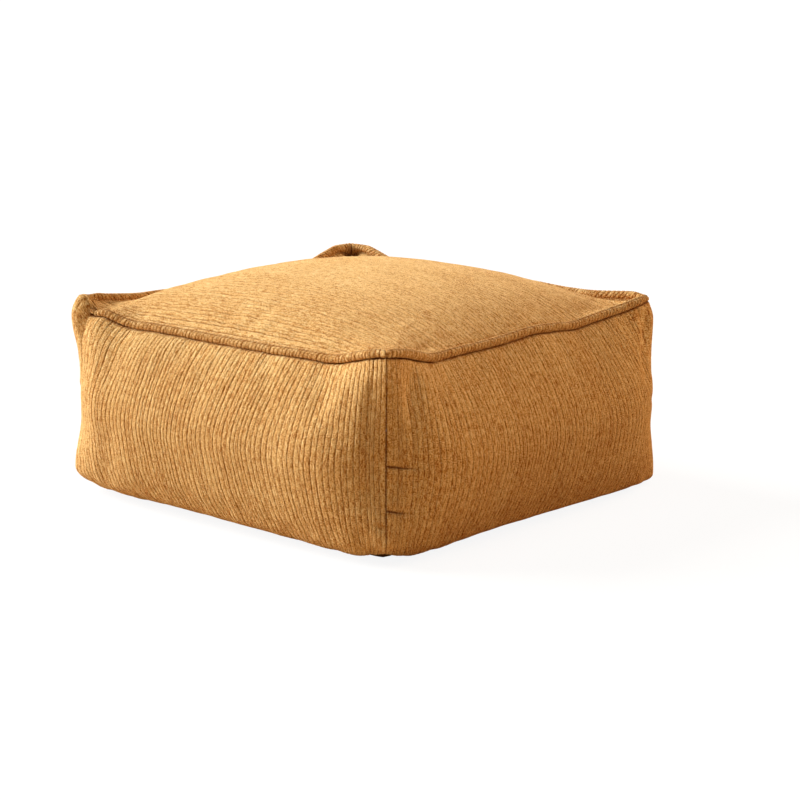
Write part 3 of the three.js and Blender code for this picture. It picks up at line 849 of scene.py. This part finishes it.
def padded_panel(name, grid, thickness, coarse):
    """A closed panel of padded cloth: a fine outer skin, its edges, and a coarse inner skin."""
    points, inward, cloth_place, valley, tone = grid
    rows, cols = points.shape[:2]
    outer = np.arange(rows * cols).reshape(rows, cols)
    row_marks, col_marks = marks(rows, coarse[0]), marks(cols, coarse[1])
    chosen = np.ix_(row_marks, col_marks)
    inner = outer.size + np.arange(len(row_marks) * len(col_marks)).reshape(len(row_marks), len(col_marks))
    inner_points = inner_skin(points, inward, thickness, row_marks, col_marks).reshape(-1, 3)
    inner_points[:, 2] = inner_points[:, 2].clip(BASE_SEAM_HEIGHT)

    faces = quads(outer).tolist() + quads(inner)[:, ::-1].tolist()
    faces += rim_faces(outer, inner, row_marks, col_marks)
    places = np.concatenate([points.reshape(-1, 3), inner_points])
    # The inner skin gets full valley darkness: painted shade on the hidden skin and on the rims that lead
    # down to it in the seams
    values = {
        "valley": np.concatenate([valley.ravel(), np.ones(len(inner_points))]),
        "tone": np.concatenate([tone.ravel(), np.zeros(len(inner_points))]),
    }
    flat = np.concatenate([cloth_place.reshape(-1, 2), cloth_place[chosen].reshape(-1, 2)])
    return new_piece(name, places, faces, values, flat)


def inner_skin(points, inward, thickness, row_marks, col_marks):
    """A coarse skin under the fine one, let in further wherever a fold would come close to it."""
    rows, cols = points.shape[:2]
    row_place = np.interp(np.arange(rows), row_marks, np.arange(len(row_marks)))[:, None]
    col_place = np.interp(np.arange(cols), col_marks, np.arange(len(col_marks)))[None, :]
    at_row = row_place.astype(int).clip(0, len(row_marks) - 2)
    at_col = col_place.astype(int).clip(0, len(col_marks) - 2)
    share_row, share_col = (row_place - at_row)[..., None], (col_place - at_col)[..., None]
    chosen = np.ix_(row_marks, col_marks)
    depth = np.full((len(row_marks), len(col_marks)), thickness)
    for _ in range(3):
        skin = points[chosen] + inward[chosen] * depth[..., None]
        low = skin[at_row, at_col] * (1 - share_col) + skin[at_row, at_col + 1] * share_col
        high = skin[at_row + 1, at_col] * (1 - share_col) + skin[at_row + 1, at_col + 1] * share_col
        flat = low * (1 - share_row) + high * share_row
        short = (0.6 * thickness - ((flat - points) * inward).sum(axis=-1)).clip(0)
        short[[0, -1]] = 0
        short[:, [0, -1]] = 0
        lack = np.zeros_like(depth)
        spots = np.broadcast_arrays(at_row, at_col)
        for down in (0, 1):
            for over in (0, 1):
                np.maximum.at(lack, (spots[0] + down, spots[1] + over), short)
        lack[[0, -1]] = 0
        lack[:, [0, -1]] = 0
        depth = depth + lack
    return points[chosen] + inward[chosen] * depth[..., None]


def quads(numbers):
    return np.stack(
        [numbers[:-1, :-1], numbers[:-1, 1:], numbers[1:, 1:], numbers[1:, :-1]], axis=-1).reshape(-1, 4)


def rim_faces(outer, inner, row_marks, col_marks):
    """Faces that close the gap between the rims of the fine and the coarse skin."""
    edges = (
        (outer[0], inner[0], col_marks),
        (outer[:, -1], inner[:, -1], row_marks),
        (outer[-1, ::-1], inner[-1, ::-1], outer.shape[1] - 1 - col_marks[::-1]),
        (outer[::-1, 0], inner[::-1, 0], outer.shape[0] - 1 - row_marks[::-1]),
    )
    faces = []
    for fine, coarse, stops in edges:
        for i, (start, end) in enumerate(zip(stops[:-1], stops[1:])):
            faces.append([*fine[start:end + 1][::-1].tolist(), int(coarse[i]), int(coarse[i + 1])])
    return faces


def new_piece(name, places, faces, values, flat):
    mesh = bpy.data.meshes.new(name)
    mesh.from_pydata(places.tolist(), [], faces)
    mesh.update()
    for title, numbers in values.items():
        mesh.attributes.new(title, "FLOAT", "POINT").data.foreach_set("value", numbers.astype(np.float32))
    corner = np.empty(len(mesh.loops), np.int32)
    mesh.loops.foreach_get("vertex_index", corner)
    mesh.uv_layers.new(name="cloth").data.foreach_set("uv", flat[corner].astype(np.float32).ravel())
    piece = bpy.data.objects.new(name, mesh)
    bpy.context.collection.objects.link(piece)
    select_only(piece)
    bpy.ops.object.shade_smooth()
    return piece


def select_only(piece):
    bpy.ops.object.select_all(action="DESELECT")
    piece.select_set(True)
    bpy.context.view_layer.objects.active = piece


def welt_strip(side, sizes):
    """A sewn welt: a soft roll bent along the top seam of a side. Its ends are cut on the slant where
    they meet the next strip, and rounded where they are folded in under an ear."""
    rng = np.random.default_rng(side["seed"] + 50)
    start = -1 + side["welt_from"] / HALF
    end = 1 - side["welt_to"] / HALF
    length = (end - start) * HALF
    angle = np.linspace(0, 2 * math.pi, WELT_SIDES, endpoint=False) - 2.2
    share, relief, valley, tone = rib_field(
        length, WELT_PITCH, sizes.rib_depth * 1.3, angle * sizes.welt_radius, rng, WELT_LINE)
    # The lines where the welt meets the panels: they sink a little, and are painted dark as shade below
    sewn = bump((angle - 1.204) / 0.22) * (side["tuck"] == 0) + 0.8 * bump((angle + 1.415) / 0.35)
    relief = relief - 0.0010 * sewn[None, :]
    clear = smooth(share * 12) * smooth((1 - share) * 12)
    run = (share * length)[:, None] + side["slant"] * np.sin(angle)[None, :] * clear[:, None]
    u = start + run / HALF

    folded = side["welt_from"] > MITRE_WITHIN, side["welt_to"] > MITRE_WITHIN
    start_corner, end_corner = corners_of(side)
    thin = 1 - start_corner["thin"] * smooth(1 - run / THIN_REACH)
    thin = thin - end_corner["thin"] * smooth(1 - (length - run) / THIN_REACH)
    uneven = 1 + 0.05 * soft_noise(rng, run, 0 * run + angle[None, :] * 0.005, 0.022, 0.008)
    radius = sizes.welt_radius * thin * uneven + relief
    outward = radius * np.cos(angle) + WELT_PROUD
    slant = end_corner["mitre"] * smooth(1 - (length - run) / 0.010) * outward
    slant = slant - start_corner["mitre"] * smooth(1 - run / 0.010) * outward
    cap_turn = np.linspace(0, math.pi / 2, WELT_CAP_RINGS + 1)[1:-1]
    cap = [radius[i].mean() * (FOLDED_END if is_folded else CUT_END)
           for i, is_folded in zip((0, -1), folded)]
    rings = [(u[0], slant[0] - cap[0] * math.cos(turn), radius[0] * math.sin(turn))
             for turn in cap_turn]
    rings += [(u[i], slant[i], radius[i]) for i in range(len(u))]
    rings += [(u[-1], slant[-1] + cap[1] * math.cos(turn), radius[-1] * math.sin(turn))
              for turn in cap_turn[::-1]]
    points = np.array([welt_ring(side, *ring, angle) for ring in rings])
    points[..., 2] -= side["dip"] * smooth(1 - np.abs(points[..., 1] + HALF - side["welt_to"]) / 0.020)
    poles = [points[0].mean(axis=0), points[-1].mean(axis=0)]

    numbers = np.arange(points.shape[0] * WELT_SIDES).reshape(points.shape[0], WELT_SIDES)
    around = np.concatenate([numbers, numbers[:, :1]], axis=1)
    faces = quads(around).tolist()
    first, final = numbers.size, numbers.size + 1
    faces += [[first, int(around[0, i + 1]), int(around[0, i])] for i in range(WELT_SIDES)]
    faces += [[final, int(around[-1, i]), int(around[-1, i + 1])] for i in range(WELT_SIDES)]
    caps = len(cap_turn)
    pad = ((caps, caps), (0, 0))
    # Painted shade along those lines and in the valleys between the welt's ribs; the poles at the ends get
    # a little painted shade too
    dark = np.maximum(valley, sewn).clip(0, 1)
    values = {
        "valley": np.append(np.pad(dark, pad, mode="edge").ravel(), [0.3, 0.3]),
        "tone": np.append(np.pad(tone, pad, mode="edge").ravel(), [0, 0]),
    }
    flat_run = np.pad(run, pad, mode="edge")
    flat_round = np.broadcast_to(angle * sizes.welt_radius, flat_run.shape)
    flat = np.stack([flat_run, flat_round], axis=-1).reshape(-1, 2)
    flat = np.concatenate([flat, flat[:1], flat[-1:]])
    name = f"welt_strip_{side['name']}"
    return new_piece(name, np.concatenate([points.reshape(-1, 3), poles]), faces, values, flat)


def welt_frame(side, u):
    """Middle of the welt, and its directions along the seam, up and outward."""
    here = side_point(side, u, 1.0)
    tangent = unit(side_point(side, u + 0.004, 1.0) - side_point(side, u - 0.004, 1.0))
    upward = unit(np.cross(direction(side["out"]), tangent))
    outward = np.cross(tangent, upward)
    return here + outward * WELT_PROUD, tangent, upward, outward


def welt_ring(side, u, offset, radius, angle):
    middle, tangent, upward, outward = welt_frame(side, u)
    return (middle + tangent * np.broadcast_to(offset, angle.shape)[:, None]
            + outward * (radius * np.cos(angle))[:, None] + upward * (radius * np.sin(angle))[:, None])


# Materials

def new_group(name, inputs, outputs):
    """An empty shader node group, its sockets, and its input and output nodes."""
    group = bpy.data.node_groups.new(name, "ShaderNodeTree")
    for title, kind, value in inputs:
        socket = group.interface.new_socket(title, in_out="INPUT", socket_type=kind)
        socket.default_value = value
    for title, kind in outputs:
        group.interface.new_socket(title, in_out="OUTPUT", socket_type=kind)
    return group, group.nodes.new("NodeGroupInput"), group.nodes.new("NodeGroupOutput")


def math_node(tree, operation, first, second, clamp=False):
    node = tree.nodes.new("ShaderNodeMath")
    node.operation = operation
    node.use_clamp = clamp
    for socket, value in zip(node.inputs, (first, second)):
        if isinstance(value, (int, float)):
            socket.default_value = value
        else:
            tree.links.new(value, socket)
    return node.outputs[0]


def mixed(tree, share, first, second):
    node = tree.nodes.new("ShaderNodeMix")
    node.data_type = "RGBA"
    for socket, value in zip((node.inputs[0], node.inputs[6], node.inputs[7]), (share, first, second)):
        if isinstance(value, (int, float, tuple)):
            socket.default_value = value
        else:
            tree.links.new(value, socket)
    return node.outputs[2]


def noise_node(tree, vector, scale, detail, stretch=(1, 1, 1), distortion=0.0):
    mapping = tree.nodes.new("ShaderNodeMapping")
    mapping.inputs["Scale"].default_value = stretch
    noise = tree.nodes.new("ShaderNodeTexNoise")
    noise.inputs["Scale"].default_value = scale
    noise.inputs["Detail"].default_value = detail
    noise.inputs["Distortion"].default_value = distortion
    tree.links.new(vector, mapping.inputs["Vector"])
    tree.links.new(mapping.outputs["Vector"], noise.inputs["Vector"])
    return noise.outputs["Fac"]


def swing(tree, noise, gain):
    """A noise value as a swing on either side of nought."""
    return math_node(tree, "MULTIPLY", math_node(tree, "SUBTRACT", noise, 0.5), gain)


def total(tree, first, *others):
    for other in others:
        first = math_node(tree, "ADD", first, other)
    return first


def ribbed_pile_group():
    """Colour and height of crimped pile on ribs, with painted shade from the Valley mask and painted sheen
    from the Tone on the top. Cloth Place runs across the ribs, then along them.
    """
    group, given, result = new_group(
        "Ribbed pile",
        [("Cloth Place", "NodeSocketVector", (0, 0, 0)), ("Object Place", "NodeSocketVector", (0, 0, 0)),
         ("Valley", "NodeSocketFloat", 0.0), ("Tone", "NodeSocketFloat", 0.0),
         ("Deep", "NodeSocketColor", (0.3, 0.1, 0.0, 1)), ("Cloth", "NodeSocketColor", (0.6, 0.3, 0.1, 1)),
         ("Brushed", "NodeSocketColor", (0.8, 0.5, 0.2, 1)),
         ("Ground and Shade", "NodeSocketColor", (0.1, 0.0, 0.0, 1)),
         ("Valley Darkness", "NodeSocketFloat", 0.8)],
        [("Colour", "NodeSocketColor"), ("Roughness", "NodeSocketFloat"), ("Height", "NodeSocketFloat")])
    place, solid = given.outputs["Cloth Place"], given.outputs["Object Place"]
    tufts = noise_node(group, place, 1.0, 1.0, (860.0, 700.0, 1.0), 0.5)
    strands = noise_node(group, place, 1.0, 1.0, (520.0, 120.0, 1.0), 0.3)
    clumps = noise_node(group, place, 1.0, 1.0, (190.0, 90.0, 1.0))
    patches = noise_node(group, solid, 15.0, 2.0)

    grain = total(group, swing(group, tufts, 5.2), swing(group, strands, 3.0))
    # Tone: random tone of each rib, and on the top the painted sheen of its middle
    tone = math_node(group, "MULTIPLY", given.outputs["Tone"], 0.16)
    pale = total(group, grain, swing(group, clumps, 0.45), swing(group, patches, 0.7), tone)
    darker = math_node(group, "MULTIPLY", pale, -1.0, True)
    paler = math_node(group, "MULTIPLY", pale, 1.0, True)
    colour = mixed(group, darker, given.outputs["Cloth"], given.outputs["Deep"])
    colour = mixed(group, paler, colour, given.outputs["Brushed"])
    broken = math_node(group, "SUBTRACT", 1.0, math_node(group, "MULTIPLY", grain, 0.30))
    # Painted shade: the valley mask, broken a little by the tufts, mixes in the colour of the bare ground
    # and the shade
    valley = math_node(group, "MULTIPLY", given.outputs["Valley"], given.outputs["Valley Darkness"])
    bare = math_node(group, "MULTIPLY", valley, broken, True)
    colour = mixed(group, bare, colour, given.outputs["Ground and Shade"])
    group.links.new(colour, result.inputs["Colour"])

    rough = math_node(group, "ADD", 0.82, math_node(group, "MULTIPLY", strands, 0.18))
    group.links.new(rough, result.inputs["Roughness"])
    height = total(group, tufts, math_node(group, "MULTIPLY", strands, 0.5),
                   math_node(group, "MULTIPLY", clumps, 0.5))
    group.links.new(height, result.inputs["Height"])
    return group


def cloth_shader(material, sheen, sheen_tint):
    tree = material.node_tree
    shader = tree.nodes["Principled BSDF"]
    shader.inputs["Specular IOR Level"].default_value = 0.12
    shader.inputs["Sheen Weight"].default_value = sheen
    shader.inputs["Sheen Roughness"].default_value = 0.45
    shader.inputs["Sheen Tint"].default_value = sheen_tint
    return tree, shader


def opaque(colour):
    return (colour[0], colour[1], colour[2], 1.0)


def pile_material(name, group, sizes, colours, valley_darkness):
    material = bpy.data.materials.new(name)
    material.use_nodes = True
    tree, shader = cloth_shader(material, 0.16, (1.0, 0.90, 0.62, 1.0))
    pile = tree.nodes.new("ShaderNodeGroup")
    pile.node_tree = group
    flat = tree.nodes.new("ShaderNodeUVMap")
    flat.uv_map = "cloth"
    solid = tree.nodes.new("ShaderNodeTexCoord")
    tree.links.new(flat.outputs["UV"], pile.inputs["Cloth Place"])
    tree.links.new(solid.outputs["Object"], pile.inputs["Object Place"])
    for title in ("valley", "tone"):
        value = tree.nodes.new("ShaderNodeAttribute")
        value.attribute_name = title
        tree.links.new(value.outputs["Fac"], pile.inputs[title.title()])
    pile.inputs["Cloth"].default_value = opaque(colours.cloth)
    pile.inputs["Deep"].default_value = opaque(colours.deep)
    pile.inputs["Ground and Shade"].default_value = opaque(colours.valley)
    pile.inputs["Brushed"].default_value = opaque(colours.brushed)
    # How dark the painted shade in the valleys, seams and creases is
    pile.inputs["Valley Darkness"].default_value = valley_darkness
    raised = tree.nodes.new("ShaderNodeBump")
    raised.inputs["Strength"].default_value = 1.0
    raised.inputs["Distance"].default_value = sizes.pile
    tree.links.new(pile.outputs["Colour"], shader.inputs["Base Color"])
    tree.links.new(pile.outputs["Roughness"], shader.inputs["Roughness"])
    tree.links.new(pile.outputs["Height"], raised.inputs["Height"])
    tree.links.new(raised.outputs["Normal"], shader.inputs["Normal"])
    return material


def base_material(colours):
    """Plain close weave of the base cloth."""
    material = bpy.data.materials.new("base_cloth")
    material.use_nodes = True
    tree, shader = cloth_shader(material, 0.10, (1.0, 0.9, 0.8, 1.0))
    solid = tree.nodes.new("ShaderNodeTexCoord").outputs["Object"]
    threads = []
    for turn in ("X", "Y"):
        wave = tree.nodes.new("ShaderNodeTexWave")
        wave.bands_direction = turn
        wave.inputs["Scale"].default_value = 260.0
        wave.inputs["Distortion"].default_value = 0.6
        tree.links.new(solid, wave.inputs["Vector"])
        threads.append(wave.outputs["Fac"])
    weave = math_node(tree, "MULTIPLY", threads[0], threads[1])
    dirt = noise_node(tree, solid, 40.0, 3.0)
    base = opaque(colours.base)
    dark = (base[0] * 0.55, base[1] * 0.55, base[2] * 0.55, 1.0)
    share = math_node(tree, "MULTIPLY", math_node(tree, "ADD", weave, dirt), 0.6, True)
    tree.links.new(mixed(tree, share, dark, base), shader.inputs["Base Color"])
    rough = math_node(tree, "ADD", 0.78, math_node(tree, "MULTIPLY", dirt, 0.2))
    tree.links.new(rough, shader.inputs["Roughness"])
    raised = tree.nodes.new("ShaderNodeBump")
    raised.inputs["Distance"].default_value = 0.0004
    tree.links.new(weave, raised.inputs["Height"])
    tree.links.new(raised.outputs["Normal"], shader.inputs["Normal"])
    return material


def floor_material(colours):
    """Pale and even to the camera, and duller and warm to the light that it throws back on the cloth."""
    material = bpy.data.materials.new("studio_floor")
    material.use_nodes = True
    tree = material.node_tree
    shader = tree.nodes["Principled BSDF"]
    shader.inputs["Roughness"].default_value = 0.9
    shader.inputs["Specular IOR Level"].default_value = 0.0
    shader.inputs["Emission Color"].default_value = (1.0, 1.0, 1.0, 1.0)
    seen = tree.nodes.new("ShaderNodeLightPath").outputs["Is Camera Ray"]
    floor = opaque(colours.floor)
    tree.links.new(mixed(tree, seen, FLOOR_BOUNCE, floor), shader.inputs["Base Color"])
    tree.links.new(math_node(tree, "MULTIPLY", seen, FLOOR_GLOW), shader.inputs["Emission Strength"])
    return material


def finish_piece(piece, material, nodes):
    piece.data.materials.append(material)
    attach(piece, "root")
    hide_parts(*nodes)


def pile_group():
    return bpy.data.node_groups.get("Ribbed pile") or ribbed_pile_group()


# Operators

class OTTOMAN_OT_cushion(bpy.types.Operator):
    """Make the top panel and the four side panels of the cushion, settled over its filling"""
    bl_idname = "ottoman.cushion"
    bl_label = "Cushion panels"

    def execute(self, context):
        sizes, colours = context.scene.ottoman_sizes, context.scene.ottoman_colours
        moves = settled_cover(sizes)
        material = pile_material("ribbed_cloth", pile_group(), sizes, colours, 0.85)
        top = padded_panel("top_panel", top_panel(sizes, moves["top"]), sizes.thickness, (26, 6))
        panels = [top]
        for side in SIDES:
            grid = side_panel(side, sizes, moves[side["name"]])
            panels.append(padded_panel(f"side_panel_{side['name']}", grid, sizes.thickness, (7, 26)))
        for panel in panels:
            finish_piece(panel, material, ["filled_body"])
        return {"FINISHED"}


class OTTOMAN_OT_welts(bpy.types.Operator):
    """Make the four welt strips that are sewn along the top edge"""
    bl_idname = "ottoman.welts"
    bl_label = "Welts"

    def execute(self, context):
        sizes, colours = context.scene.ottoman_sizes, context.scene.ottoman_colours
        material = pile_material("welt_cloth", pile_group(), sizes, colours, 1.0)
        for side in SIDES:
            strip = welt_strip(side, sizes)
            finish_piece(strip, material, [f"welt_{side['name']}"])
        return {"FINISHED"}


class OTTOMAN_OT_base(bpy.types.Operator):
    """Make the base cloth that the ottoman rests on"""
    bl_idname = "ottoman.base"
    bl_label = "Base cloth"

    def execute(self, context):
        colours = context.scene.ottoman_colours
        half = BASE_HIGH.x - BASE_BELLY
        bpy.ops.object.select_all(action="DESELECT")
        bpy.ops.mesh.primitive_grid_add(x_subdivisions=40, y_subdivisions=40, size=2 * half)
        piece = context.object
        piece.name = piece.data.name = "base_sheet"
        place = vertex_places(piece.data)
        straight = half - BASE_CORNER
        inset = place[:, :2].clip(-straight, straight)
        corner = place[:, :2] - inset
        reach = np.linalg.norm(corner, axis=1, keepdims=True)
        place[:, :2] = inset + corner * np.minimum(1.0, BASE_CORNER / np.maximum(reach, 1e-9))
        share = place[:, :2] / half
        place[:, :2] += BASE_BELLY * share * (1 - share[:, ::-1] ** 2)
        piece.data.vertices.foreach_set("co", place.ravel())
        piece.data.update()
        select_only(piece)
        bpy.ops.object.modifier_add(type="SOLIDIFY")
        piece.modifiers[-1].thickness = BASE_HIGH.z
        piece.modifiers[-1].offset = 1.0
        bpy.ops.object.modifier_apply(modifier=piece.modifiers[-1].name)
        bpy.ops.object.modifier_add(type="BEVEL")
        piece.modifiers[-1].width = 0.0009
        piece.modifiers[-1].segments = 3
        bpy.ops.object.modifier_apply(modifier=piece.modifiers[-1].name)
        bpy.ops.object.shade_smooth_by_angle(angle=math.radians(50))
        finish_piece(piece, base_material(colours), ["base_panel"])
        return {"FINISHED"}


class OTTOMAN_OT_stage(bpy.types.Operator):
    """Make the pale floor, the soft studio lights and the camera"""
    bl_idname = "ottoman.stage"
    bl_label = "Stage"

    def execute(self, context):
        bpy.ops.object.select_all(action="DESELECT")
        bpy.ops.mesh.primitive_plane_add(size=80, location=(0, 0, -0.0004))
        floor = context.object
        floor.name = "floor"
        bpy.ops.object.transform_apply(location=True, rotation=True, scale=True)
        floor.data.materials.append(floor_material(context.scene.ottoman_colours))
        add_world()
        for light in LIGHTS:
            add_light(*light)
        add_camera(context.scene)
        context.scene.view_settings.view_transform = "Standard"
        return {"FINISHED"}


# One row a soft light: name, azimuth and elevation in degrees seen from the cushion, how wide it
# looks in degrees, strength and colour
LIGHTS = [
    ("window_light", -69, 26, 42, 6.15, (1.0, 1.05, 1.02)),
    ("fill_light", 156, 30, 60, 2.0, (1.0, 0.64, 0.33)),
    ("overhead_light", 70, 80, 70, 0.72, (0.95, 1.05, 1.05)),
]
AIR_COLOUR = (0.03, 0.02, 0.01, 1.0)
FLOOR_BOUNCE = (0.60, 0.43, 0.26, 1.0)
FLOOR_GLOW = 0.90


def toward(azimuth, elevation):
    a, e = math.radians(azimuth), math.radians(elevation)
    return Vector((math.sin(a) * math.cos(e), -math.cos(a) * math.cos(e), math.sin(e)))


def add_light(name, azimuth, elevation, width, strength, colour):
    way = toward(azimuth, elevation)
    bpy.ops.object.light_add(type="SUN", location=CAMERA_TARGET + way * 2)
    light = bpy.context.object
    light.name = name
    light.rotation_euler = way.to_track_quat("Z", "Y").to_euler()
    light.data.angle = math.radians(width)
    light.data.energy = strength
    light.data.color = colour


def add_world():
    world = bpy.data.worlds.new("studio_air")
    world.use_nodes = True
    tree = world.node_tree
    air = tree.nodes["Background"]
    path = tree.nodes.new("ShaderNodeLightPath")
    seen = mixed(tree, path.outputs["Is Camera Ray"], AIR_COLOUR, (1.0, 1.0, 1.0, 1.0))
    tree.links.new(seen, air.inputs["Color"])
    bpy.context.scene.world = world


def add_camera(scene):
    back = toward(CAMERA_AZIMUTH, CAMERA_ELEVATION)
    right = Vector((math.cos(math.radians(CAMERA_AZIMUTH)), math.sin(math.radians(CAMERA_AZIMUTH)), 0.0))
    above = back.cross(right)
    place = CAMERA_TARGET + back * CAMERA_DISTANCE
    aim = CAMERA_TARGET + right * CAMERA_ASIDE - above * CAMERA_BELOW
    turn = (place - aim).to_track_quat("Z", "Y").to_matrix().to_4x4()
    turn = turn @ Matrix.Rotation(math.radians(CAMERA_ROLL), 4, "Z")
    bpy.ops.object.camera_add(location=place, rotation=turn.to_euler())
    camera = bpy.context.object
    camera.name = "photo_camera"
    camera.data.lens = LENS
    camera.data.clip_end = 100
    scene.camera = camera


class OTTOMAN_PT_panel(bpy.types.Panel):
    """Lists the steps that dress the ottoman"""
    bl_idname = "OTTOMAN_PT_panel"
    bl_label = "Floor ottoman"
    bl_space_type = "VIEW_3D"
    bl_region_type = "UI"
    bl_category = "Ottoman"

    def draw(self, context):
        layout = self.layout
        for group in (context.scene.ottoman_sizes, context.scene.ottoman_colours):
            for name in group.__annotations__:
                layout.prop(group, name)
        for step in STEPS:
            layout.operator(step.bl_idname)


STEPS = (OTTOMAN_OT_base, OTTOMAN_OT_cushion, OTTOMAN_OT_welts, OTTOMAN_OT_stage)
CLASSES = (OttomanSizes, OttomanColours, *STEPS, OTTOMAN_PT_panel)


def register():
    for item in CLASSES:
        bpy.utils.register_class(item)
    bpy.types.Scene.ottoman_sizes = bpy.props.PointerProperty(type=OttomanSizes)
    bpy.types.Scene.ottoman_colours = bpy.props.PointerProperty(type=OttomanColours)


def unregister():
    del bpy.types.Scene.ottoman_sizes
    del bpy.types.Scene.ottoman_colours
    for item in reversed(CLASSES):
        bpy.utils.unregister_class(item)


def main():
    register()
    bpy.ops.ottoman.base()
    bpy.ops.ottoman.cushion()
    bpy.ops.ottoman.welts()
    bpy.ops.ottoman.stage()


if __name__ == "__main__":
    main()
